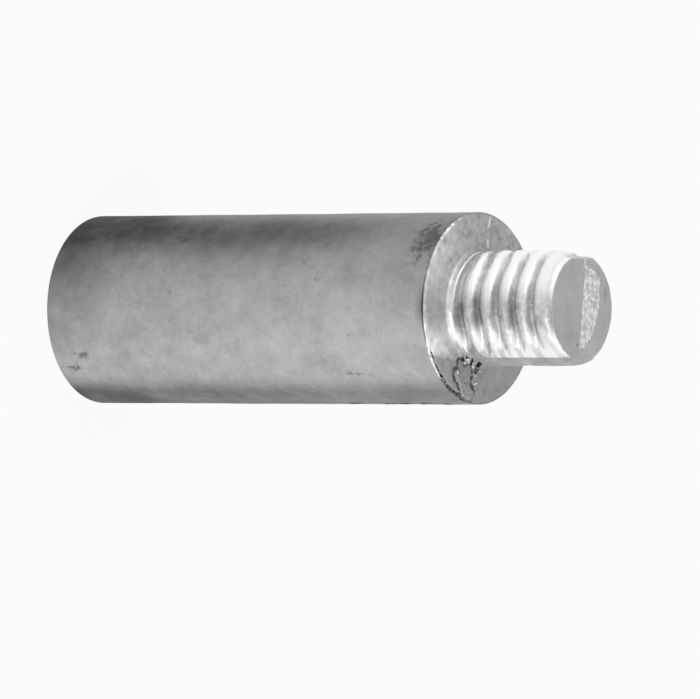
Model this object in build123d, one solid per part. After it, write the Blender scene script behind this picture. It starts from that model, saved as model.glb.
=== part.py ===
from build123d import *
import os
from math import atan, degrees, radians, tan

# A pencil anode: a round zinc bar with a coarse right-hand stud on one end, cast as one piece.
# It stands on its plain end. The origin is the middle of that end, and +Z runs up the axis through
# the stud. The die parts on the XZ plane. Angles about the axis are in degrees from +X.

# Body
BODY_DIAMETER = 12.7
BODY_LENGTH = 31.2
FOOT_ROUND = 0.2  # edge of the plain end
RIM_ROUND = 0.12  # edge of the shoulder face

# Stud
CREST_DIAMETER = 7.5
STUD_LENGTH = 8.1
NECK_FILLET = 0.3  # where the stud meets the shoulder
NECK_LENGTH = 0.42  # plain foot of the stud, up to where the groove may begin
TIP_CHAMFER = 0.26

# Thread: one helical groove, cast shallower than a cut thread of this pitch
THREAD_PITCH = 25.4 / 18
THREAD_DEPTH = 0.48
CREST_WIDTH = 0.55  # left between two turns of the groove
FLANK_ANGLE = 30.0  # of each side, from square to the axis
BREAK_DEPTH = 0.13  # height of the softened edge of a crest
BREAK_ANGLE = 58.0  # its slope, from square to the axis
ROOT_BREAK = 0.07  # softened corner of the root
GROOVE_STOP = 0.56  # from the tip down to the groove's last point
GROOVE_STOP_ANGLE = 205.0

# Land: the strip along the stud where the groove stops short of the parting line
LAND_DEPTH = 0.56  # from the crests in to the wall that ends the groove
LAND_ANGLE = 7.0

# Sloping flat at the start of the thread
START_FLAT_DEPTH = 0.45  # from the crests, at the tip
START_FLAT_LENGTH = 2.1  # from the tip down to where it has risen to the crests
START_FLAT_ANGLE = 188.0

# Gate: the runner's stump, broken off the tip on one side of the parting plane
GATE_LENGTH = 5.1
GATE_WIDTH = 1.65
GATE_HEIGHT = 0.14
GATE_TAPER = 1.5  # length of its narrowing +X end
GATE_CORNER = 0.35
GATE_SHIFT = -0.1  # along X, from the axis to the middle of the gate
GATE_SIDE = 0.05  # from the parting plane to its long straight side

# Flash: thin lines of metal left along the parting plane
FLASH_WIDTH = 0.16
FLASH_HEIGHT = 0.09
FLASH_SEAT = 0.15  # how deep a line is rooted
SHOULDER_FLASH = ((0.25, 0.95), (1.6, 2.5))  # each line's ends, inwards from the -X rim
WALL_FLASH = ((1.2, 4.3), (4.7, 7.1), (8.3, 10.4))  # down from the shoulder on the +X side
CROWN_FLASH = ((0.2, 3.7),)  # down from the shoulder on the -X side
TIP_FLASH_GAP = 0.18  # from the flat at the thread's start to the end of the tip's line

# Flake: torn flash pressed down in a shallow pocket of the shoulder, from the stud to the +X rim
FLAKE_HEIGHT = 0.07
FLAKE_DEPTH = 0.14
FLAKE_GAP = 0.11  # open crack round it
FLAKE_NECK = 0.5  # from the crests out to its inner end
FLAKE_RIM = 0.3  # from the rim in to its outer end
# Its ragged outline: the share of the way out, and the distance from the parting plane
FLAKE_OUTLINE = (
    (0.0, 0.15),
    (-0.04, 1.0),
    (-0.24, 1.95),
    (0.18, 2.65),
    (0.51, 2.12),
    (0.78, 1.62),
    (0.93, 1.22),
    (0.98, 0.58),
    (0.74, 0.47),
    (0.62, 0.57),
)

body_radius = BODY_DIAMETER / 2
crest_radius = CREST_DIAMETER / 2
root_radius = crest_radius - THREAD_DEPTH
tip_radius = crest_radius - TIP_CHAMFER
start_flat_offset = crest_radius - START_FLAT_DEPTH
tip_height = BODY_LENGTH + STUD_LENGTH


def blank():
    """The casting without its thread, turned from one half section."""
    foot = body_radius - FOOT_ROUND
    rim = body_radius - RIM_ROUND
    neck = crest_radius + NECK_FILLET
    shoulder = BODY_LENGTH
    with BuildPart() as turned:
        with BuildSketch(Plane.XZ):
            with BuildLine():
                Polyline((0, tip_height), (0, 0), (foot, 0))
                CenterArc((foot, FOOT_ROUND), FOOT_ROUND, -90, 90)
                Line((body_radius, FOOT_ROUND), (body_radius, shoulder - RIM_ROUND))
                CenterArc((rim, shoulder - RIM_ROUND), RIM_ROUND, 0, 90)
                Line((rim, shoulder), (neck, shoulder))
                CenterArc((neck, shoulder + NECK_FILLET), NECK_FILLET, 180, 90)
                Polyline(
                    (crest_radius, shoulder + NECK_FILLET),
                    (crest_radius, tip_height - TIP_CHAMFER),
                    (tip_radius, tip_height),
                    (0, tip_height),
                )
            make_face()
        revolve(axis=Axis.Z)
    return turned.part


def groove_section():
    """The groove's section on the XZ plane, centred on Z = 0 and open beyond the crests."""
    mouth = (THREAD_PITCH - CREST_WIDTH) / 2
    root = mouth - THREAD_DEPTH * tan(radians(FLANK_ANGLE))
    edge = mouth - BREAK_DEPTH * tan(radians(FLANK_ANGLE))
    # The cutter's sides keep the slope of the softened edges until two turns would meet.
    top = mouth + 0.4 * CREST_WIDTH
    top_radius = crest_radius - BREAK_DEPTH + (top - edge) / tan(radians(BREAK_ANGLE))
    side = ((root_radius, root), (crest_radius - BREAK_DEPTH, edge), (top_radius, top))
    far = top_radius + NECK_FILLET
    with BuildSketch(Plane.XZ) as section:
        Polygon(
            *((r, -z) for r, z in side), (far, -top), (far, top), *reversed(side), align=None
        )
        chamfer(section.vertices().group_by(Axis.X)[0], ROOT_BREAK)
    return section.sketch


def groove():
    """The whole groove, from the stud's neck up to its stop, ended by the wall of the land."""
    climb = STUD_LENGTH - GROOVE_STOP + THREAD_PITCH
    start_angle = GROOVE_STOP_ANGLE - 360 * climb / THREAD_PITCH
    path = Helix(THREAD_PITCH, climb, crest_radius)
    turns = sweep(groove_section(), path=path, is_frenet=True)
    turns = Pos(0, 0, BODY_LENGTH - THREAD_PITCH) * Rot(0, 0, start_angle) * turns
    clear = Box(
        2 * BODY_DIAMETER,
        2 * BODY_DIAMETER,
        STUD_LENGTH,
        align=(Align.MAX, Align.CENTER, Align.MIN),
    )
    wall = crest_radius - LAND_DEPTH
    return turns & (Rot(0, 0, LAND_ANGLE) * Pos(wall, 0, BODY_LENGTH + NECK_LENGTH) * clear)


def start_flat():
    """What the sloping flat at the start of the thread takes off the tip."""
    slope = degrees(atan(START_FLAT_DEPTH / START_FLAT_LENGTH))
    cutter = Box(
        BODY_DIAMETER,
        BODY_DIAMETER,
        3 * START_FLAT_LENGTH,
        align=(Align.MIN, Align.CENTER, Align.CENTER),
    )
    cutter = Pos(start_flat_offset, 0, tip_height) * Rot(0, -slope, 0) * cutter
    return Rot(0, 0, START_FLAT_ANGLE) * cutter


def gate():
    """The gate's stump, with its long straight side along the parting plane."""
    start = -GATE_LENGTH / 2
    end = GATE_LENGTH / 2
    outline = Polygon(
        (start, 0), (end, 0), (end - GATE_TAPER, GATE_WIDTH), (start, GATE_WIDTH), align=None
    )
    outline = fillet(outline.vertices().group_by(Axis.Y)[-1], GATE_CORNER)
    stump = extrude(outline, FLASH_SEAT + GATE_HEIGHT)
    return Pos(GATE_SHIFT, GATE_SIDE, tip_height - FLASH_SEAT) * stump


def flash_line(length):
    """A line of flash along +X from the origin, standing on Z = 0 and rooted below it."""
    half = FLASH_WIDTH / 2 * (1 + FLASH_SEAT / FLASH_HEIGHT)
    section = Polygon((-half, -FLASH_SEAT), (half, -FLASH_SEAT), (0, FLASH_HEIGHT), align=None)
    return extrude(Plane.YZ * section, length)


def flash():
    """Every line of flash: on the shoulder, down the body's wall and across the tip."""
    for start, end in SHOULDER_FLASH:
        yield Pos(start - body_radius, 0, BODY_LENGTH) * flash_line(end - start)
    wall = Plane(origin=(body_radius, 0, 0), x_dir=(0, 0, -1), z_dir=(1, 0, 0))
    for side, lines in ((0, WALL_FLASH), (180, CROWN_FLASH)):
        for start, end in lines:
            line = wall * flash_line(end - start)
            yield Rot(0, 0, side) * Pos(0, 0, BODY_LENGTH - start) * line
    reach = start_flat_offset - TIP_FLASH_GAP
    yield Pos(-reach, 0, tip_height) * flash_line(2 * reach)


def flake_and_pocket():
    """The torn flake, and the pocket that it leaves an open crack in."""
    inner = crest_radius + FLAKE_NECK
    reach = body_radius - FLAKE_RIM - inner
    corners = [(inner + share * reach, -off) for share, off in FLAKE_OUTLINE]
    outline = Polygon(*corners, align=None)
    pocket = offset(outline, FLAKE_GAP, kind=Kind.INTERSECTION)
    pocket = Pos(0, 0, BODY_LENGTH - FLAKE_DEPTH) * extrude(pocket, 2 * FLAKE_DEPTH)
    flake = Pos(0, 0, BODY_LENGTH - FLAKE_DEPTH - FLASH_SEAT) * extrude(
        outline, FLASH_SEAT + FLAKE_DEPTH + FLAKE_HEIGHT
    )
    return flake, pocket


flake, pocket = flake_and_pocket()
anode = blank() - groove() - start_flat() - pocket
for piece in (flake, gate(), *flash()):
    anode = anode + piece

os.makedirs("parts", exist_ok=True)
export_step(anode, "parts/anode.step")
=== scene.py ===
from math import atan2, cos, degrees, exp, hypot, radians, sin

import bpy
from mathutils import Matrix, Vector, noise


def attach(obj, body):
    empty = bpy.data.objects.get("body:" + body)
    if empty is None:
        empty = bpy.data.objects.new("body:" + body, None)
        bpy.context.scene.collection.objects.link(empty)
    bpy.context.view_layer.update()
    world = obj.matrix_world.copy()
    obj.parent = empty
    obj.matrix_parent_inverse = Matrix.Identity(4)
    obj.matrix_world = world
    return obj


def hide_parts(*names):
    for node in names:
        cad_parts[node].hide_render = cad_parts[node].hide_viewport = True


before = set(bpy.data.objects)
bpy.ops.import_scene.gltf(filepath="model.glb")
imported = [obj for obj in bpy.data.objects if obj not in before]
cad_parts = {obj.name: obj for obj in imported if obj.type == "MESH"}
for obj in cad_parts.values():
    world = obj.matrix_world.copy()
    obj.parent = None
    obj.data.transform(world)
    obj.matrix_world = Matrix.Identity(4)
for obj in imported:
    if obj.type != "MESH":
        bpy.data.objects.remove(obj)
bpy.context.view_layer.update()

# A pencil anode that stands on its plain end, cast in one piece. It is shaped in millimetres, and
# scaled down when it is done. Angles about the axis are in degrees from +X, and the die parted on
# the XZ plane. "Up" is the height above the shoulder, and "out" the distance from the axis.
MM = 0.001
scene = bpy.context.scene
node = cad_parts["anode"]

# Sizes of the casting
BODY_RADIUS = 6.35
SHOULDER = 31.2
FOOT_ROUND = 0.2
RIM_ROUND = 0.12
CREST_RADIUS = 3.75
TIP = 39.3
TIP_FACE = TIP - 0.02  # above this lies the tip's face, and above the next the gate on it
GATE_FACE = TIP + 0.02
PITCH = 25.4 / 18
LAND_ANGLE = 7.0
LAND_WALL = 3.19  # from the axis out to the wall that ends the groove
GATE_TOP = 39.44
REACH = 6.44  # the flash's highest point, from the axis

# Mesh
VOXEL = 0.089
JOIN = 30.9  # height where the stud end's fine mesh meets the drawn-out bar
SPARE = 0.6  # what the stud end keeps below the join until it is fine
DISC_INSET = 0.2  # of the disc that fills the flake's crack, from the bar's wall
DISC_DEPTH = 0.4
STUD_SMOOTHING = 4
SMOOTHING = 1
RINGS = 28  # of faces down the bar
FOOT_TURNS = (22.5, 45, 67.5, 90)  # degrees round the plain end's edge
BOTTOM_RINGS = (0.99, 0.7, 0.35)  # shares of the plain end's flat radius

# Flash: each line's two ends
WALL_FLASH = ((1.2, 4.3), (4.7, 7.1), (8.3, 10.4))  # down from the shoulder on the +X side
CROWN_FLASH = ((0.2, 3.7),)  # down from the shoulder on the -X side
SHOULDER_FLASH = ((-6.2, -5.25), (-4.7, -3.9))  # along X
FLASH_HEIGHT = 0.09
FLASH_HALF_WIDTH = 0.13
FLASH_DARK_OFF = 0.3  # from the parting plane to the middle of the dark band beside the flash
FLASH_DARK_WIDTH = 0.24
SHOULDER_FLASH_OFF = 0.33  # from the parting plane
SHOULDER_FLASH_HEIGHT = 0.07
SHOULDER_FLASH_HALF_WIDTH = 0.17
# How far down from the shoulder the mesh is cut finer for the flash
WALL_FLASH_ZONE = 11.0
CROWN_FLASH_ZONE = 4.5

# Unevenness of the cast skin: broad waves and a finer ripple on the bar, and grit elsewhere
WAVE_DEPTH = 0.012
RIPPLE_DEPTH = 0.005
SHOULDER_GRIT = 0.006
STUD_TRIM = 0.012  # what the stud loses all over, so that its grit stays inside the solid
STUD_GRIT = 0.014
STUD_WAVE = 0.012

# Torn metal on the shoulder, between two angles
TORN_ANGLES = (-75, 40)
FLAKE_FOOT = 3.95  # from the axis out to where the flake's crack may begin
FLAKE_LIFT = 0.05
CRACK_OFF = 0.05  # from the flake's outline out to the middle of its crack
CRACK_WIDTH = 0.16
CRACK_DEPTH = 0.26
RIM_CRACK = 6.23  # from the axis out to the middle of the rim's crack
RIM_CRACK_WIDTH = 0.1
RIM_CRACK_DEPTH = 0.18
RIM_LIP = 0.03
# Pits and crumbs, on the shoulder and on the stud's foot
PIT_DEPTH = 0.18
CRUMB_HEIGHT = 0.06
STUD_PIT_DEPTH = 0.12
STUD_CRUMB_HEIGHT = 0.04
# How far a place moves along X and Y for each millimetre up, when the stud's foot is laid flat
UNROLL_X = -0.17
UNROLL_Y = 1.37

# The gate's broken face
GATE_FOOT = 0.03  # lowest facet above the tip
FACET_RISE = 0.09  # from the lowest facet to the highest

# Flaws of the thread
THREAD_START = 6.735  # height above the shoulder of a groove's bottom at an angle of 0
SAG_MINUS_X = 0.6  # how far the turns lie low on each side of the parting plane
SAG_PLUS_X = 0.4
LOST_DEPTH = 0.65  # share of the groove's depth that is lost on the -X side
CREST_GAIN = 0.07  # how far the crests stand out on the -X side
LAST_CREST_GAIN = 0.12
LAND_DIP = 0.09  # depth of the land's two dips
LAND_LIFT = 0.05


# ------------------------------------------------------------------------------------ helpers
def leave():
    bpy.ops.object.mode_set(mode="OBJECT")


def edit(obj):
    """Opens obj alone in edit mode with nothing selected."""
    bpy.ops.object.select_all(action="DESELECT")
    bpy.context.view_layer.objects.active = obj
    obj.select_set(True)
    bpy.ops.object.mode_set(mode="EDIT")
    bpy.ops.mesh.select_all(action="DESELECT")


def subdivide_where(obj, kind, chosen, cuts):
    """Subdivides the faces or edges that a rule chooses by their corners."""
    edit(obj)
    bpy.ops.mesh.select_mode(type=kind)
    leave()
    mesh = obj.data
    for part in mesh.polygons if kind == "FACE" else mesh.edges:
        part.select = chosen(*(mesh.vertices[i].co for i in part.vertices))
    bpy.ops.object.mode_set(mode="EDIT")
    bpy.ops.mesh.subdivide(number_cuts=cuts)
    leave()


def apply_modifier(obj, kind, **values):
    modifier = obj.modifiers.new(kind.lower(), kind)
    for name, value in values.items():
        setattr(modifier, name, value)
    bpy.context.view_layer.objects.active = obj
    bpy.ops.object.modifier_apply(modifier=modifier.name)


def cut_below(obj, height, fill):
    """Takes away what lies below a height, and closes the cut if fill is true."""
    edit(obj)
    bpy.ops.mesh.select_all(action="SELECT")
    bpy.ops.mesh.bisect(
        plane_co=(0, 0, height), plane_no=(0, 0, 1), use_fill=fill, clear_inner=True
    )
    leave()


def shape(obj, rule):
    """Moves each vertex of obj by a rule."""
    for vertex in obj.data.vertices:
        rule(vertex.co)
    obj.data.update()


def around(place):
    """Distance from the axis, and angle about it in degrees."""
    return hypot(place.x, place.y), degrees(atan2(place.y, place.x))


def angle_between(angle, middle):
    """From one angle about the axis to another, the short way round, in degrees."""
    return abs((angle - middle + 180) % 360 - 180)


def held(value, low=0.0, high=1.0):
    return min(max(value, low), high)


def bell(distance, width):
    """1 at a distance of 0, falling smoothly to little past the width."""
    return exp(-((distance / width) ** 2))


def ramp(value, low, high):
    """0 at low, 1 at high, and smooth between."""
    share = held((value - low) / (high - low))
    return share * share * (3 - 2 * share)


def stretch(value, start, full, fade, end):
    """0 up to start, 1 from full to fade, and 0 again past end."""
    return ramp(value, start, full) * (1 - ramp(value, fade, end))


def beside(angle, middle, near, far):
    """1 within near degrees of a middle angle, falling to 0 at far degrees."""
    return 1 - ramp(angle_between(angle, middle), near, far)


def grit(place, size, seed=0.0):
    """Smooth noise from about -1 to 1, with grains of a size in millimetres."""
    return noise.noise(Vector(place) / size + Vector((seed, 1.7 * seed, -seed))) * 1.6


def outside(x, y, outline):
    """Distance from a closed outline, less than 0 inside it."""
    best = 1e9
    inside = False
    for (x0, y0), (x1, y1) in zip(outline, outline[1:] + outline[:1]):
        run = (x1 - x0, y1 - y0)
        share = ((x - x0) * run[0] + (y - y0) * run[1]) / (run[0] ** 2 + run[1] ** 2)
        share = held(share)
        best = min(best, hypot(x - x0 - share * run[0], y - y0 - share * run[1]))
        if (y0 > y) != (y1 > y) and x < x0 + (y - y0) * run[0] / run[1]:
            inside = not inside
    return -best if inside else best


# ------------------------------------------------------------------------------------ shapes
# The torn flake that is pressed down on the shoulder, and the gate's broken face on the tip
FLAKE = [
    (3.95, -0.62),
    (3.78, -1.2),
    (3.62, -1.85),
    (3.95, -2.02),
    (4.25, -2.05),
    (4.5, -2.42),
    (4.82, -2.24),
    (5.06, -1.97),
    (5.6, -1.47),
    (5.87, -1.38),
    (6.12, -1.15),
    (6.05, -0.3),
    (5.45, -0.05),
    (5.3, -0.45),
    (4.87, -0.62),
    (4.4, -0.52),
]
GATE = [
    (-2.84, 0.06),
    (2.64, 0.03),
    (2.5, 0.6),
    (2.12, 1.0),
    (1.5, 1.4),
    (0.7, 1.72),
    (-0.66, 1.92),
    (-1.45, 1.82),
    (-2.25, 1.8),
    (-2.55, 1.35),
    (-2.7, 0.5),
]
# Pits and bright crumbs of the torn metal between the flake and the stud: x, y and radius
PITS = (
    (3.58, -0.55, 0.14),
    (3.8, -0.6, 0.12),
    (3.32, 0.62, 0.17),
    (3.6, 0.34, 0.18),
    (3.88, 0.12, 0.18),
    (4.15, -0.02, 0.13),
    (3.57, -1.58, 0.13),
    (3.97, -1.32, 0.12),
    (3.42, -1.15, 0.08),
    (4.25, -0.5, 0.1),
    (5.28, -0.22, 0.16),
    (5.08, -0.42, 0.12),
    (3.36, 1.02, 0.13),
    (3.28, 1.5, 0.1),
    (3.34, 1.25, 0.09),
    (4.62, -0.3, 0.08),
)
CRUMBS = (
    (3.56, -0.04, 0.1),
    (3.89, -0.39, 0.12),
    (3.62, 1.0, 0.1),
    (4.1, 0.5, 0.1),
    (4.44, 0.02, 0.09),
    (3.52, -1.04, 0.1),
    (5.0, 0.03, 0.1),
    (4.5, -2.02, 0.09),
    (4.8, -1.9, 0.07),
    (3.72, -1.42, 0.09),
    (3.3, 1.97, 0.07),
    (3.44, 1.36, 0.07),
    (3.3, 0.8, 0.08),
)


def flake_relief(x, y):
    """How far the shoulder is raised by the flake and its crack, and how dark that is."""
    place = (x, y, 0)
    off = outside(x, y, FLAKE) + 0.06 * grit(place, 0.3, 3) + 0.05 * grit(place, 0.14, 4)
    # The crack is nearly closed on the side towards +Y, but for one stretch.
    torn = 1.0 - 0.68 * ramp(y + 0.2 * x, 0.0, 0.6)
    torn = min(torn + 0.35 * bell(x - 4.95, 0.3), 1.0)
    width = max(CRACK_WIDTH + 0.07 * grit(place, 0.28, 5), 0.08)
    crack = bell(off - CRACK_OFF, width if off > CRACK_OFF else CRACK_OFF) * torn
    height = -CRACK_DEPTH * crack
    if off < 0:
        height += (FLAKE_LIFT + 0.035 * grit(place, 0.3, 7)) * ramp(-off, 0.0, 0.08)
        height -= 0.05 * ramp(grit(place, 0.16, 9), 0.45, 0.8)
    return height, crack


def rim_relief(out, angle, flat):
    """How far the rim is raised by its ragged crack and lip, and how dark the crack is."""
    along = stretch(angle, -62, -54, -12, -5)
    middle = RIM_CRACK + 0.05 * grit(flat, 0.28, 11)
    width = max(RIM_CRACK_WIDTH + 0.04 * grit(flat, 0.3, 13), 0.05)
    uneven = 0.65 + 0.35 * ramp(grit(flat, 0.32, 14), -0.3, 0.2)
    crack = along * bell(out - middle, width) * uneven
    lip = along * ramp(out, middle + 0.03, middle + 0.1) * (0.5 + 0.5 * grit(flat, 0.25, 15))
    return RIM_LIP * lip - RIM_CRACK_DEPTH * crack, crack


def torn_foot(place):
    """How much of a pit and of a crumb there is at a place by the stud's foot, 0 to 1 each."""
    up = max(place.z - SHOULDER, 0.0)
    x = place.x + UNROLL_X * up
    y = place.y + UNROLL_Y * up
    if not (3.0 < x < 5.6 and -2.6 < y < 2.3):
        return 0.0, 0.0
    x += 0.09 * grit((x, y, 0), 0.2, 17)
    y += 0.09 * grit((x, y, 0), 0.17, 19)
    pit = max(bell(hypot(x - px, y - py), 1.25 * radius) for px, py, radius in PITS)
    crumb = max(bell(hypot(x - cx, y - cy), radius) for cx, cy, radius in CRUMBS)
    return ramp(pit, 0.25, 0.7), ramp(crumb, 0.3, 0.7)


def shoulder_flash(x, y):
    """The bright line of flash on the shoulder, from 0 beside it to 1 on its top."""
    for start, end in SHOULDER_FLASH:
        if start < x < end:
            middle = SHOULDER_FLASH_OFF + 0.07 * grit((x, 0, 0), 0.5, 51)
            across = max(0.0, 1 - abs(y - middle) / SHOULDER_FLASH_HALF_WIDTH)
            return across * stretch(x, start, start + 0.15, end - 0.2, end)
    return 0.0


def shape_shoulder(place):
    """Sinks and raises the shoulder where it is torn."""
    out, angle = around(place)
    low = SHOULDER - RIM_ROUND
    if place.z < low or place.z > SHOULDER + 0.25 or out < CREST_RADIUS + 0.07:
        return
    flat = (place.x, place.y, 0)
    height = SHOULDER_GRIT * grit(flat, 0.7, 21)
    if TORN_ANGLES[0] < angle < TORN_ANGLES[1]:
        height += flake_relief(place.x, place.y)[0] if out > FLAKE_FOOT else 0.0
        height += rim_relief(out, angle, flat)[0] * ramp(place.z, low, SHOULDER - 0.03)
        pit, crumb = torn_foot(place)
        height += CRUMB_HEIGHT * crumb - PIT_DEPTH * pit
    place.z += height + SHOULDER_FLASH_HEIGHT * shoulder_flash(place.x, place.y)


def shape_gate(place):
    """Makes the tip's flash uneven, and breaks up the gate's face into facets."""
    if place.z < TIP_FACE:
        return
    off = outside(place.x, place.y, GATE)
    if off > 0.1:
        if place.z > TIP + 0.035:
            place.z = TIP + (place.z - TIP) * (0.75 + 0.5 * grit(place, 0.3, 23))
        return
    flat = (place.x, place.y, 0)
    facet = 0.5 + 0.5 * grit(flat, 0.2, 25) + 0.35 * grit(flat, 0.42, 27)
    ragged = off + 0.09 * grit(flat, 0.25, 28)
    height = GATE_FOOT + FACET_RISE * held(facet)
    place.z = min(TIP + height * ramp(-ragged, -0.06, 0.06), GATE_TOP)


def sag(angle, up):
    """How far the turns of the thread lie below a true helix beside the parting plane."""
    low = SAG_MINUS_X * beside(angle, 180, 10, 50) + SAG_PLUS_X * beside(angle, 0, 10, 65)
    return low * stretch(up, 0.1, 1.1, 5.6, 7.4)


def shallow(angle, up):
    """How much of the groove's depth is lost beside the parting plane."""
    minus_x = LOST_DEPTH * beside(angle, 180, 12, 50) * (1 - ramp(up, 5.8, 6.3))
    plus_x = 0.5 * beside(angle, LAND_ANGLE, 40, 70) + 0.5 * beside(angle, LAND_ANGLE, 32, 54)
    return (minus_x + plus_x) * stretch(up, 0.35, 0.6, 7.0, 7.5)


def fuller(angle, up):
    """How far the crests stand out beside the parting plane on the -X side."""
    gain = CREST_GAIN * stretch(up, 0.9, 1.6, 6.2, 7.2) + LAST_CREST_GAIN * bell(up - 6.4, 0.4)
    return beside(angle, 187, 10, 45) * gain


def shape_stud(place):
    """Gives the stud the uneven surface, dips and sagging thread of this casting."""
    out, angle = around(place)
    if place.z < SHOULDER + 0.15 or out < 2.8 or out > 4.1:
        return
    up = place.z - SHOULDER
    depth = STUD_TRIM + STUD_GRIT * grit(place, 0.35, 31) + STUD_WAVE * grit(place, 0.9, 33)
    across = out * cos(radians(angle - LAND_ANGLE))
    land = ramp(across, LAND_WALL + 0.1, LAND_WALL + 0.4) * ramp(up, 0.6, 1)
    dips = bell(up - 4.3, 0.35) + 0.6 * bell(up - 7.8, 0.3)
    depth += (LAND_DIP * dips - LAND_LIFT) * land
    pit, crumb = torn_foot(place) if up < 0.9 else (0.0, 0.0)
    depth += STUD_PIT_DEPTH * pit - STUD_CRUMB_HEIGHT * crumb
    depth -= shallow(angle, up) * max(CREST_RADIUS - out, 0.0) + fuller(angle, up)
    trim = 1 - depth / out
    place.x *= trim
    place.y *= trim
    place.z -= sag(angle, up)


def flash_height(place):
    """How far a line of flash stands out of the bar's wall."""
    down = SHOULDER - place.z
    for start, end in WALL_FLASH if place.x > 0 else CROWN_FLASH:
        if start < down < end:
            along = (0, 0, place.z)
            ragged = 0.55 + 0.6 * grit(along, 0.45, 37) + 0.25 * grit(along, 0.2, 39)
            swerve = 0.03 * grit(along, 1.3, 41)
            across = max(0.0, 1 - abs(place.y - swerve) / FLASH_HALF_WIDTH)
            return FLASH_HEIGHT * held(ragged, 0.1) * across
    return 0.0


def shape_bar(place):
    """Trues the bar's wall, then gives it its shallow waves and its flash."""
    out = hypot(place.x, place.y)
    if place.z > SHOULDER - RIM_ROUND - 0.02 or out < BODY_RADIUS - 0.1:
        return
    depth = WAVE_DEPTH * (1 + grit(place, 3.5, 43)) + RIPPLE_DEPTH * (1 + grit(place, 1.2, 45))
    trim = (BODY_RADIUS - max(depth, 0.0)) / out
    flash = flash_height(place)
    place.x = place.x * trim + (flash if place.x > 0 else -flash)
    place.y *= trim
    place.x = held(place.x, -REACH, REACH)


def flatten_flake(place):
    """Lays the flake flush with the shoulder, before it is shaped finely."""
    if SHOULDER < place.z < SHOULDER + 0.14 and hypot(place.x, place.y) > 4.12:
        place.z = SHOULDER


def on_torn_shoulder(*corners):
    """Faces by the flake, by the rim's crack and by the shoulder's flash."""
    place = corners[0]
    out, angle = around(place)
    if place.z < SHOULDER - 0.14 or place.z > SHOULDER + 0.3 or out < CREST_RADIUS:
        return False
    by_flake = out < 5.0 and -42 < angle < 28
    by_crack = out >= 5.0 and -33 < angle < 2
    by_rim = out > 5.85 and -66 < angle < 2
    by_flash = place.x < -3.8 and -0.1 < place.y < 0.8
    return by_flake or by_crack or by_rim or by_flash


def on_gate(*corners):
    return all(
        corner.z > TIP_FACE and outside(corner.x, corner.y, GATE) < 0.12 for corner in corners
    )


def under_flash(*corners):
    """Upright edges of the bar along the parting plane, where there is flash."""
    low, high = sorted(corner.z for corner in corners)
    if high - low < 0.3 or any(abs(corner.y) > 0.26 for corner in corners):
        return False
    depth = WALL_FLASH_ZONE if corners[0].x > 0 else CROWN_FLASH_ZONE
    return low > SHOULDER - depth and high < SHOULDER - 0.1


def make_stud_end():
    """The solid's upper end as one fine mesh, open at the join."""
    casting = bpy.data.objects.new("cast_anode", node.data.copy())
    scene.collection.objects.link(casting)
    casting.data.transform(Matrix.Scale(1 / MM, 4))
    edit(casting)
    bpy.ops.mesh.select_all(action="SELECT")
    bpy.ops.mesh.remove_doubles(threshold=1e-4)
    leave()
    cut_below(casting, JOIN - SPARE, fill=True)

    # A disc in the shoulder fills the flake's crack, which is cut again later with a ragged edge.
    bpy.ops.object.select_all(action="DESELECT")
    bpy.ops.mesh.primitive_cylinder_add(
        vertices=96,
        radius=BODY_RADIUS - DISC_INSET,
        depth=DISC_DEPTH,
        location=(0, 0, SHOULDER - DISC_DEPTH / 2),
    )
    casting.select_set(True)
    bpy.context.view_layer.objects.active = casting
    bpy.ops.object.join()
    apply_modifier(casting, "REMESH", mode="VOXEL", voxel_size=VOXEL)
    cut_below(casting, JOIN, fill=False)
    shape(casting, flatten_flake)

    stud = casting.vertex_groups.new(name="stud")
    for vertex in casting.data.vertices:
        out = hypot(vertex.co.x, vertex.co.y)
        if SHOULDER + 0.12 < vertex.co.z < TIP - 0.1 and out < CREST_RADIUS + 0.2:
            stud.add([vertex.index], 1.0, "REPLACE")
    apply_modifier(casting, "SMOOTH", factor=0.5, iterations=STUD_SMOOTHING, vertex_group="stud")
    apply_modifier(casting, "SMOOTH", factor=0.5, iterations=SMOOTHING)
    return casting


def draw_out_bar(casting):
    """Draws the bar out of the open edge down to the plain end, which is rounded and closed."""
    drop = JOIN - FOOT_ROUND
    rings = [(JOIN - drop * ring / RINGS, BODY_RADIUS) for ring in range(1, RINGS + 1)]
    for turn in FOOT_TURNS:
        inset = FOOT_ROUND * (1 - cos(radians(turn)))
        rings.append((FOOT_ROUND * (1 - sin(radians(turn))), BODY_RADIUS - inset))
    rings += [(0.0, share * (BODY_RADIUS - FOOT_ROUND)) for share in BOTTOM_RINGS]

    edit(casting)
    bpy.ops.mesh.select_mode(type="EDGE")
    bpy.ops.mesh.select_non_manifold()
    height = JOIN
    radius = BODY_RADIUS
    for lower, narrower in rings:
        step = (0, 0, lower - height)
        bpy.ops.mesh.extrude_region_move(TRANSFORM_OT_translate={"value": step})
        if narrower < radius:
            scale = narrower / radius
            bpy.ops.transform.resize(value=(scale, scale, 1), center_override=(0, 0, lower))
        height, radius = lower, narrower
    bpy.ops.mesh.extrude_region_move()
    bpy.ops.mesh.merge(type="CENTER")
    bpy.ops.mesh.select_all(action="SELECT")
    bpy.ops.mesh.normals_make_consistent(inside=False)
    leave()


casting = make_stud_end()
subdivide_where(casting, "FACE", on_torn_shoulder, cuts=1)
subdivide_where(casting, "FACE", on_gate, cuts=1)
shape(casting, shape_bar)
draw_out_bar(casting)
subdivide_where(casting, "EDGE", under_flash, cuts=5)
for rule in (shape_bar, shape_shoulder, shape_gate, shape_stud):
    shape(casting, rule)
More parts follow.
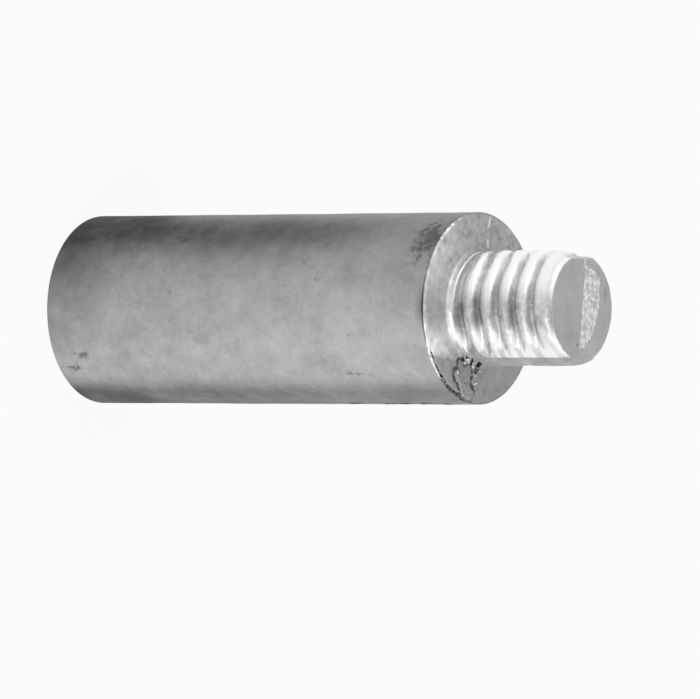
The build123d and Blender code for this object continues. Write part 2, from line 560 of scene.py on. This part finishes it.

# ------------------------------------------------------------------------------------ wear marks
# What is painted on the mesh, from 0 to 1 each: bare bright metal and painted sheen, dark stain
# and painted shade, grey film and painted shade, black dirt and painted shade, rubbed edge and
# painted highlight, broken grain and small dark specks
MARKS = ("clean_and_sheen", "stain_and_shade", "dull_and_shade", "dirt_and_shade", "rubbed_and_highlight", "broken", "specks")
STAIN_AND_SHADE_MOST = 0.92  # the darkest that the bar's stains and painted shade may be
# Smudges on the bar: height, angle, length along the bar, width in degrees, and strength
SMUDGES = (
    (10.0, -130, 0.45, 2.5, 1.3),
    (9.4, -121, 0.35, 2, 0.35),
    (8.5, -138, 0.9, 3, 0.7),
    (5.2, -122, 0.9, 3, 0.3),
    (4.1, -107, 0.6, 3, 0.25),
    (3.1, -113, 0.6, 3, 0.25),
    (1.7, -97, 0.3, 4, 0.4),
    (1.4, -45, 0.3, 2.5, 1.0),
    (2.3, -54, 0.3, 2, 0.9),
    (3.2, -63, 0.3, 2.5, 0.4),
    (10.4, -93, 0.5, 3, 0.25),
    (17.2, -102, 0.5, 3, 0.3),
    (20.6, -112, 0.6, 2.5, 0.3),
    (22.3, -101, 0.5, 2.5, 0.3),
    (24.8, -120, 0.5, 2.5, 0.3),
    (25.5, -67, 0.4, 2, 0.35),
    (24.9, -40, 0.9, 1.7, 1.2),
    (29.3, -90, 0.5, 3, 0.3),
)
# Rough spots on the thread: height above the shoulder, angle and radius in millimetres
THREAD_SPOTS = (
    (4.3, -72, 0.35),
    (5.7, -84, 0.4),
    (7.3, -98, 0.4),
    (6.3, -113, 0.3),
    (2.7, -70, 0.25),
)


def smudge(place, angle):
    """How dark the smudges make a place on the bar's wall."""
    dark = 0.0
    for height, middle, length, width, strength in SMUDGES:
        if abs(place.z - height) < 2.5 * length and angle_between(angle, middle) < 2.5 * width:
            across = bell(angle_between(angle, middle), width)
            dark += strength * bell(place.z - height, length) * across
    return dark


def flash_side_dark(place):
    """How dark the bar is just beside a line of flash on its +X side."""
    if place.x < 0 or abs(place.y) > 1:
        return 0.0
    down = SHOULDER - place.z
    lines = sum(stretch(down, start, start + 0.3, end - 0.3, end) for start, end in WALL_FLASH)
    patchy = ramp(grit((0, 0, place.z), 0.9, 53), -0.5, 0.2) * (0.7 + 0.5 * grit(place, 0.3, 55))
    return lines * bell(place.y + FLASH_DARK_OFF, FLASH_DARK_WIDTH) * patchy


def bar_marks(place, angle, up):
    """Painted shade on the bar's sides and end, its rough patch, smudges, and dark by the flash.
    """
    share = place.z / SHOULDER  # of the way up the bar
    # Painted shade: darker on the -X side, most towards the plain end, darker on the +X side, and
    # darker towards the plain end, least on the side that faces -48 degrees
    near_end = 1 - ramp(share, 0.0, 0.35)
    upper = bell(angle_between(angle, -137 - 15 * near_end), 19 + 14 * near_end)
    upper *= 0.9 - 0.45 * share - 0.45 * ramp(share, 0.65, 0.95)
    lower = (0.72 - 0.25 * share) * stretch(angle, -40, -20, 15, 50)
    end = 0.4 * (1 - ramp(share, 0.0, 0.3)) * (1 - 0.7 * bell(angle_between(angle, -48), 28))
    end += 0.24 * (1 - ramp(share, 0.35, 0.65)) * bell(angle_between(angle, -168), 20)
    patch = bell(angle_between(angle, -129), 15) * ramp(up, -2.3, -1.4)
    # Painted shade on the flash's ridges, and a dark band beside them
    flash_dark = max(0.85 * min(14 * flash_height(place), 1.0), 0.55 * flash_side_dark(place))
    # Painted shade just under the rim, on the side that faces -84 degrees
    under_rim = 0.55 * bell(angle_between(angle, -84), 17) * bell(up + 0.22, 0.1)
    # A broken dark line just under the rim from -50 to -10 degrees, carried on from the rim's
    # crack
    crack = 0.8 * stretch(angle, -50, -42, -20, -10) * bell(up + 0.1, 0.09)
    crack *= ramp(grit(place, 0.22, 65), -0.05, 0.3)
    return {
        "stain_and_shade": max(min(upper + lower + end, STAIN_AND_SHADE_MOST), 0.3 * patch),
        "specks": min(0.07 + patch + smudge(place, angle), 1.0),
        "dirt_and_shade": max(flash_dark, under_rim, crack),
    }


def shoulder_marks(place, out, angle):
    """The shoulder's painted sheen on two sides, its duller part past x 3.75, and painted shade
    in the cracks.
    """
    flat = (place.x, place.y, 0)
    # Duller past x 3.75; elsewhere painted sheen makes it bare and bright about -105 and -62
    # degrees
    dull_beyond = ramp(place.x + 0.25 * max(place.y, 0.0), 3.65, 3.85)
    clean_and_sheen = 0.19 + 0.3 * bell(angle_between(angle, -105), 32) + 0.42 * bell(angle + 62, 14)
    clean_and_sheen *= (1 - dull_beyond) * (1 + 0.3 * grit(flat, 0.5, 75))
    blotches = 0.5 * grit(flat, 0.8, 67) + 0.4 * grit(flat, 0.3, 69)
    stain_and_shade = 0.24 * bell(angle_between(angle, 180), 42)
    stain_and_shade += 0.08 * bell(angle_between(angle, 60), 35) + 0.13 * max(blotches, 0.0)
    dirt_and_shade = 0.0
    # Painted shade in the flake's crack and in the rim's crack
    if TORN_ANGLES[0] < angle < TORN_ANGLES[1]:
        dirt_and_shade = flake_relief(place.x, place.y)[1] if out > FLAKE_FOOT else 0.0
        dirt_and_shade = max(dirt_and_shade, rim_relief(out, angle, flat)[1])
    specks = 0.4 - 0.25 * dull_beyond + 0.15 * grit(flat, 0.9, 73)
    return {"clean_and_sheen": clean_and_sheen, "stain_and_shade": stain_and_shade, "dirt_and_shade": dirt_and_shade, "specks": specks}


def tip_marks(place):
    """The tip's dull face with its short scratch and pit, and the gate's broken grains."""
    broken = 0.0
    if place.z > GATE_FACE:
        broken = ramp(-outside(place.x, place.y, GATE), -0.1, 0.0)
    scratch = hypot((place.x + 1.2) / 0.5, (place.y - 2.55) / 0.12)
    return {
        "clean_and_sheen": 0.08,
        "stain_and_shade": 0.4 * bell(scratch, 1.0),
        # A painted highlight along the flash past the gate, on the -X side
        "rubbed_and_highlight": 0.6 * bell(place.y, 0.1) * ramp(-place.x, 2.5, 2.8),
        "dirt_and_shade": 0.4 * bell(hypot(place.x - 2.45, place.y + 0.28), 0.14),
        "broken": broken,
    }


def stud_marks(out, angle, up):
    """The thread's bright crests, painted shade on its grey film and in its grooves, and the dull
    land.
    """
    across = out * cos(radians(angle - LAND_ANGLE))
    land = ramp(across, LAND_WALL + 0.03, LAND_WALL + 0.07)
    open_groove = 1 - ramp(across, LAND_WALL - 0.4, LAND_WALL - 0.1)
    root = ramp(CREST_RADIUS - out, 0.1, 0.4) * open_groove
    # Place in the turn: 0 in the groove's bottom, 0.5 on the crest and 1 in the next bottom
    phase = ((up + sag(angle, up) - THREAD_START) / PITCH - angle / 360) % 1.0
    back = 1 - ramp(phase, 0.47, 0.53)  # the crest's side towards the shoulder
    flank = ramp(phase, 0.64, 0.72)  # the crest's side towards the tip
    # Painted shade: the film is greyest on the side that faces about -77 degrees, on the crest's
    # shoulder side and in the grooves, and grey at the stud's foot
    film_and_shade = back * (0.1 + 0.85 * bell(angle + 79, 25))
    film_and_shade += (1 - back) * (1 - flank) * bell(angle + 73, 26)
    film_and_shade += flank * max(0.95 * bell(angle + 74, 24), 0.5 * ramp(angle, -70, -50))
    film_and_shade += root * (0.5 + 0.5 * bell(angle + 77, 30) - film_and_shade)
    film_and_shade = max(film_and_shade, 0.35 * (1 - ramp(up, 0.5, 0.7)))
    # Painted shade darkens the grooves, most about -84 degrees and on the crest's shoulder side;
    # the land is stained
    stain_and_shade = ramp(CREST_RADIUS - out, 0.22, 0.42) * (0.2 + 0.37 * bell(angle + 84, 22))
    stain_and_shade += 0.12 * land + 0.12 * back * bell(angle + 78, 20)
    spots = (
        bell(hypot(up - height, CREST_RADIUS * radians(angle - middle)), radius)
        for height, middle, radius in THREAD_SPOTS
    )
    return {
        "clean_and_sheen": 1.0 - 0.55 * land,
        "stain_and_shade": stain_and_shade,
        "dull_and_shade": min(0.93 * land + (1 - land) * film_and_shade, 1.0),
        "specks": max(spots),
    }


def mark_rim(found, place, angle, up):
    """Adds the rim's dull skin with painted shade, and two bright beaded stretches of rubbed
    metal with painted highlight.
    """
    if up > -0.25:
        # Painted highlight: bright beads about -140 degrees
        beads = 0.4 + 0.6 * ramp(grit(place, 0.22, 59), -0.25, 0.15)
        rubbed_and_highlight = beads * bell(angle_between(angle, -140), 15) * ramp(up, -0.17, -0.1)
        found["rubbed_and_highlight"] = rubbed_and_highlight
        found["stain_and_shade"] = max(found["stain_and_shade"], 0.5 - rubbed_and_highlight)
        # Painted shade on the rim where the key lamp's highlight falls
        dirt_and_shade = max(0.2 * bell(angle + 80, 12), 0.24 * bell(angle + 67, 9))
        found["dirt_and_shade"] = max(found["dirt_and_shade"], dirt_and_shade)
    # Painted highlight: a second bright beaded stretch from -64 to -31 degrees
    beads = 0.65 + 0.35 * ramp(grit(place, 0.22, 71), -0.3, 0.1)
    middle = -0.13 + 0.03 * grit(place, 0.4, 77)
    rubbed_and_highlight = stretch(angle, -64, -58, -40, -31) * bell(up - middle, 0.07) * beads
    found["rubbed_and_highlight"] = max(found["rubbed_and_highlight"], min(1.7 * rubbed_and_highlight, 1.0))
    found["dirt_and_shade"] *= 1 - rubbed_and_highlight


def marks(place):
    """All the marks of a place, in the order of MARKS."""
    found = dict.fromkeys(MARKS, 0.0)
    out, angle = around(place)
    up = place.z - SHOULDER
    if up < -RIM_ROUND:
        found.update(bar_marks(place, angle, up))
    elif up < 0.33 and out > CREST_RADIUS - 0.02:
        found.update(shoulder_marks(place, out, angle))
    elif place.z > TIP_FACE:
        found.update(tip_marks(place))
    else:
        found.update(stud_marks(out, angle, up))
    if -0.28 < up < 0.02 and out > BODY_RADIUS - RIM_ROUND:
        mark_rim(found, place, angle, up)
    if -0.05 < up < 0.9 and out > CREST_RADIUS - 0.6:
        pit, crumb = torn_foot(place)
        found["dirt_and_shade"] = max(found["dirt_and_shade"], pit) * (1 - crumb)
        found["rubbed_and_highlight"] = max(found["rubbed_and_highlight"], crumb)
    if abs(up) < 0.2:
        found["rubbed_and_highlight"] = max(found["rubbed_and_highlight"], 0.6 * shoulder_flash(place.x, place.y))
    return tuple(found.values())


mesh = casting.data
for name, values in zip(MARKS, zip(*(marks(vertex.co) for vertex in mesh.vertices))):
    mesh.attributes.new(name, "FLOAT", "POINT").data.foreach_set("value", values)
mesh.transform(Matrix.Scale(MM, 4))
mesh.shade_smooth()
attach(casting, "root")
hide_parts("anode")

# ------------------------------------------------------------------------------------ materials
# Brightness of the zinc, from 0 for black to 1 for white
SKIN = (0.315, 0.445)  # from the darkest blotch to the lightest
# The greys below serve real stains, dirt and wear, and also painted shade, sheen and highlights
STAIN_AND_SHADE_GREY = 0.05
SPECK_GREY = 0.09
CLEAN_AND_SHEEN_GREY = (0.93, 1.0)
RUBBED_AND_HIGHLIGHT_GREY = 0.95
CRYSTAL_GREY = (0.42, 0.9)  # from the darkest of the gate's grains to the lightest
PIT_GREY = 0.1
DIRT_AND_SHADE_GREY = 0.015
# Gloss of the zinc
SKIN_METALLIC = 0.3
SKIN_ROUGH = (0.56, 0.8)  # from plain skin to stained and shaded
CLEAN_ROUGH = 0.3
GRAIN_ROUGH = 0.05
BUMP_STRENGTH = 0.5
BUMP_DEPTH = 0.02


def add(tree, kind, *values, out=0, **settings):
    """Adds a node, sets or links its inputs in order, and returns one of its outputs."""
    item = tree.nodes.new(kind)
    for name, value in settings.items():
        setattr(item, name, value)
    for slot, value in zip(item.inputs, values):
        if isinstance(value, bpy.types.NodeSocket):
            tree.links.new(value, slot)
        elif value is not None:
            slot.default_value = value
    return item.outputs[out]


def maths(tree, operation, first, second, clamp=False):
    return add(tree, "ShaderNodeMath", first, second, operation=operation, use_clamp=clamp)


def times(tree, first, second, clamp=False):
    return maths(tree, "MULTIPLY", first, second, clamp)


def spread(tree, value, low, high, start=0.0, end=1.0):
    """A value's range from low to high, laid on start to end and held within it."""
    return add(tree, "ShaderNodeMapRange", value, low, high, start, end)


def blend(tree, share, first, second):
    """A mix of two plain numbers or values."""
    return add(tree, "ShaderNodeMix", share, None, first, second)


def fields(tree, size, detail, rough, turn=0.0):
    """Noise on the object, with grains of a size in millimetres."""
    place = add(tree, "ShaderNodeTexCoord", out=3)
    moved = add(
        tree, "ShaderNodeMapping", place, (turn, 2 * turn, 0.5 * turn), (0, 0, turn), (1, 1, 1)
    )
    return add(tree, "ShaderNodeTexNoise", moved, None, 1 / (size * MM), detail, rough)


def make_mottle():
    """The node group of a cast surface's blotches, grain and pits."""
    tree = bpy.data.node_groups.new("cast_mottle", "ShaderNodeTree")
    for label in ("Blotch", "Grain", "Pits"):
        tree.interface.new_socket(name=label, in_out="OUTPUT", socket_type="NodeSocketFloat")
    end = tree.nodes.new("NodeGroupOutput").inputs
    broad = fields(tree, 3.6, 4, 0.6)
    patches = fields(tree, 1.1, 4, 0.62, 3.1)
    grain = fields(tree, 0.24, 3, 0.7, 5.3)
    spots = fields(tree, 1.5, 5, 0.72, 7.7)
    blotch = maths(tree, "ADD", times(tree, broad, 0.6), times(tree, patches, 0.4))
    tree.links.new(spread(tree, blotch, 0.36, 0.64), end["Blotch"])
    tree.links.new(spread(tree, grain, 0.28, 0.72), end["Grain"])
    tree.links.new(spread(tree, spots, 0.66, 0.8), end["Pits"])
    return tree


def make_zinc():
    """Cast zinc: dull with stains and painted shade, bright where bare, rubbed, broken or painted
    lit.
    """
    zinc = bpy.data.materials.new("cast_zinc")
    zinc.use_nodes = True
    tree = zinc.node_tree
    shader = tree.nodes["Principled BSDF"].inputs
    placed = tree.nodes.new("ShaderNodeGroup")
    placed.node_tree = make_mottle()
    blotch, grain, pits = placed.outputs
    clean_and_sheen, stain_and_shade, dull_and_shade, dirt_and_shade, rubbed_and_highlight, broken, specks = (
        add(tree, "ShaderNodeAttribute", attribute_name=name, out=2) for name in MARKS
    )

    # The dull skin of the bar, with its dark stains, painted shade and specks
    skin = spread(tree, blotch, 0, 1, *SKIN)
    darkened = times(tree, stain_and_shade, spread(tree, blotch, 1, 0, 0.85, 1.15), clamp=True)
    skin = blend(tree, darkened, skin, STAIN_AND_SHADE_GREY)
    skin = times(tree, skin, spread(tree, grain, 0, 1, 0.91, 1.09))
    speck = maths(tree, "ADD", fields(tree, 0.5, 3, 0.6, 11.3), times(tree, specks, 0.24))
    speck = times(tree, spread(tree, speck, 0.58, 0.76), spread(tree, specks, 0, 0.4, 0, 0.8))
    skin = blend(tree, speck, skin, SPECK_GREY)
    metal = blend(tree, clean_and_sheen, skin, spread(tree, grain, 0, 1, *CLEAN_AND_SHEEN_GREY))

    # The grey film on the land and the painted shade on the thread, broken up by the bright metal
    # under it
    film_and_shade = times(tree, dull_and_shade, spread(tree, blotch, 0.8, 0.2, 0.8, 1.15))
    film_and_shade = times(tree, film_and_shade, spread(tree, grain, 0.75, 0.25, 0.93, 1.05), clamp=True)
    metal = blend(tree, film_and_shade, metal, skin)

    # Bright rubbed edges and painted highlights, broken grains of the gate, pits, and black for
    # dirt and painted shade
    edge = times(tree, rubbed_and_highlight, spread(tree, grain, 0.2, 0.45), clamp=True)
    metal = blend(tree, edge, metal, RUBBED_AND_HIGHLIGHT_GREY)
    crystal = spread(tree, fields(tree, 0.32, 3, 0.65, 9.1), 0.33, 0.67, *CRYSTAL_GREY)
    metal = blend(tree, broken, metal, crystal)
    metal = blend(tree, times(tree, pits, 0.5), metal, PIT_GREY)
    black = spread(tree, dirt_and_shade, 0.12, 0.5)
    metal = blend(tree, black, metal, DIRT_AND_SHADE_GREY)
    grey = add(tree, "ShaderNodeCombineColor", metal, metal, metal)
    tree.links.new(grey, shader["Base Color"])

    bare = maths(tree, "SUBTRACT", 1.0, times(tree, film_and_shade, 0.85))
    shine = maths(tree, "MAXIMUM", times(tree, clean_and_sheen, bare), rubbed_and_highlight)
    metallic = spread(tree, maths(tree, "MAXIMUM", shine, black), 0, 1, SKIN_METALLIC, 1.0)
    tree.links.new(metallic, shader["Metallic"])
    rough = blend(tree, shine, spread(tree, darkened, 0, 1, *SKIN_ROUGH), CLEAN_ROUGH)
    uneven = spread(tree, grain, 0, 1, -GRAIN_ROUGH, GRAIN_ROUGH)
    tree.links.new(maths(tree, "ADD", rough, uneven), shader["Roughness"])
    relief = maths(tree, "ADD", grain, times(tree, pits, -1.0))
    bump = add(tree, "ShaderNodeBump", BUMP_STRENGTH, BUMP_DEPTH * MM, None, relief)
    tree.links.new(bump, shader["Normal"])
    return zinc


mesh.materials.clear()
mesh.materials.append(make_zinc())

# ------------------------------------------------------------------------------------ camera
FACING = radians(-83.0)  # the side of the bar that faces the camera
ELEVATION = radians(35.86)
DISTANCE = 604.5 * MM
AIM_ALONG = 8.58 * MM  # how far the shoulder's middle sits from the view's middle
AIM_ACROSS = 2.708 * MM
SENSOR = 36.0
LENS = 472.4
NEAREST = 0.01  # nearest and farthest that the camera sees, in metres
FARTHEST = 20.0

upwards = Vector((0, 0, 1))
facing = Vector((cos(FACING), sin(FACING), 0))
back = sin(ELEVATION) * upwards + cos(ELEVATION) * facing
right = cos(ELEVATION) * upwards - sin(ELEVATION) * facing
above = back.cross(right)
camera_data = bpy.data.cameras.new("camera")
camera_data.sensor_width = SENSOR
camera_data.lens = LENS
camera_data.clip_start = NEAREST
camera_data.clip_end = FARTHEST
camera = bpy.data.objects.new("camera", camera_data)
scene.collection.objects.link(camera)
place = SHOULDER * MM * upwards - AIM_ALONG * right - AIM_ACROSS * above + DISTANCE * back
turned = Matrix((right, above, back)).transposed()
camera.matrix_world = Matrix.Translation(place) @ turned.to_4x4()
scene.camera = camera

# ------------------------------------------------------------------------------------ stage
FLOOR_SIZE = 6.0
FLOOR_GREY = 0.92
FLOOR_ROUGH = 0.9
FLOOR_GLOW = 0.93  # how much of the floor is seen as plain white, under its shadow
SKY_LIGHT = 0.25  # what the surroundings give the bar, where 1 is what is seen of them
LAMP_DISTANCE = 0.5
LAMP_AIM = 0.02  # height that the lamps are aimed at
# Name, azimuth about the axis, height angle, size and power
LAMPS = (
    ("key", -48, 8, 0.25, 1.7),
    ("left_top", 187, 55, 0.3, 0.55),
    ("right_top", 7, 48, 0.3, 0.38),
    ("back", 97, 42, 0.3, 0.1),
)


def seen_directly(tree):
    """1 for rays that show the surroundings: from the camera, by reflection and through glass."""
    rays = tree.nodes.new("ShaderNodeLightPath").outputs
    seen = maths(tree, "ADD", rays["Is Camera Ray"], rays["Is Glossy Ray"])
    return maths(tree, "ADD", seen, rays["Is Transmission Ray"], clamp=True)


def lay_floor():
    """A pale floor that is seen nearly white and keeps the bar's shadow."""
    bpy.ops.object.select_all(action="DESELECT")
    bpy.ops.mesh.primitive_plane_add(size=FLOOR_SIZE, location=(0, 0, 0))
    floor = bpy.context.object
    floor.name = "floor"
    paint = bpy.data.materials.new("pale_floor")
    paint.use_nodes = True
    tree = paint.node_tree
    base = tree.nodes["Principled BSDF"]
    base.inputs["Base Color"].default_value = (FLOOR_GREY, FLOOR_GREY, FLOOR_GREY, 1)
    base.inputs["Roughness"].default_value = FLOOR_ROUGH
    glow = add(tree, "ShaderNodeEmission", (1, 1, 1, 1), 1.0)
    lifted = times(tree, seen_directly(tree), FLOOR_GLOW)
    mixed = add(tree, "ShaderNodeMixShader", lifted, base.outputs[0], glow)
    tree.links.new(mixed, tree.nodes["Material Output"].inputs["Surface"])
    floor.data.materials.append(paint)


def make_studio():
    """White surroundings that light the bar softly."""
    world = bpy.data.worlds.new("studio")
    world.use_nodes = True
    tree = world.node_tree
    sky = tree.nodes["Background"].inputs
    sky["Color"].default_value = (1, 1, 1, 1)
    tree.links.new(spread(tree, seen_directly(tree), 0, 1, SKY_LIGHT, 1.0), sky["Strength"])
    scene.world = world


def hang_lamp(name, azimuth, height, size, power):
    """A square area lamp aimed at the bar."""
    data = bpy.data.lights.new(name, "AREA")
    data.size = size
    data.energy = power
    level = Vector((cos(radians(azimuth)), sin(radians(azimuth)), 0))
    ray = cos(radians(height)) * level + sin(radians(height)) * upwards
    obj = bpy.data.objects.new(name, data)
    scene.collection.objects.link(obj)
    aimed = ray.to_track_quat("Z", "Y").to_matrix().to_4x4()
    obj.matrix_world = Matrix.Translation(LAMP_AIM * upwards + LAMP_DISTANCE * ray) @ aimed


lay_floor()
make_studio()
for lamp in LAMPS:
    hang_lamp(*lamp)

scene.view_settings.view_transform = "Standard"
